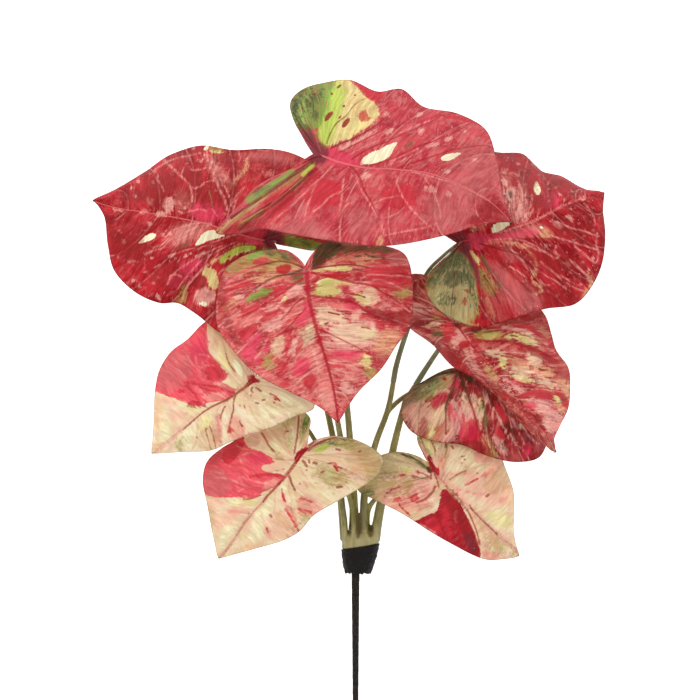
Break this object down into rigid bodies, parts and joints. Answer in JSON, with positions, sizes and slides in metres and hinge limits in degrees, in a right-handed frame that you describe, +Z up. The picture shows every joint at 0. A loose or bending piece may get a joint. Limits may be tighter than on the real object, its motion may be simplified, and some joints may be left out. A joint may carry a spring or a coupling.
{
  "type": "artificial caladium bush",
  "caption": "Bush of printed fabric heart-shaped leaves on moulded plastic stems, joined in a block with a collar and a pick to push into a pot, laid on its back.",
  "frame": {"origin": "middle of the bounding box, on the surface that the bush lies on", "axes": "+Y from the pick's end towards the top leaf, +X to the right in the picture, +Z up, away from the surface"},
  "size_m": [0.403, 0.5232, 0.1587],
  "materials": {
    "large_leaf_fabric": "coated fabric printed crimson with a pale vein net, green and cream patches, embossed veins",
    "medium_leaf_fabric": "coated fabric printed pink-red with pale and olive streaks and dark red veins, embossed veins",
    "small_leaf_fabric": "coated fabric printed cream with a red-pink patch, olive veins and red flecks, embossed veins",
    "stalk_plastic": "soft grey-green plastic, matt",
    "stem_plastic": "olive green moulded plastic, matt",
    "collar_glue": "near-black ragged glue and tape, slightly glossy",
    "pick_tape": "dark tape wound round a wire, matt"
  },
  "bodies": {
    "root": {"leaf_top": "large_leaf_fabric", "leaf_left": "large_leaf_fabric", "leaf_right": "large_leaf_fabric", "leaf_front": "medium_leaf_fabric", "leaf_mid_right": "medium_leaf_fabric", "leaf_low_right": "medium_leaf_fabric", "leaf_mid_left": "small_leaf_fabric", "leaf_low_left": "small_leaf_fabric", "leaf_low_front": "small_leaf_fabric", "stalk_top": "stalk_plastic", "stalk_left": "stalk_plastic", "stalk_right": "stalk_plastic", "stalk_front": "stalk_plastic", "stalk_mid_right": "stalk_plastic", "stalk_low_right": "stalk_plastic", "stalk_mid_left": "stalk_plastic", "stalk_low_left": "stalk_plastic", "stalk_low_front": "stalk_plastic", "stems": "stem_plastic", "collar": "collar_glue", "pick": "pick_tape"}
  },
  "joints": []
}
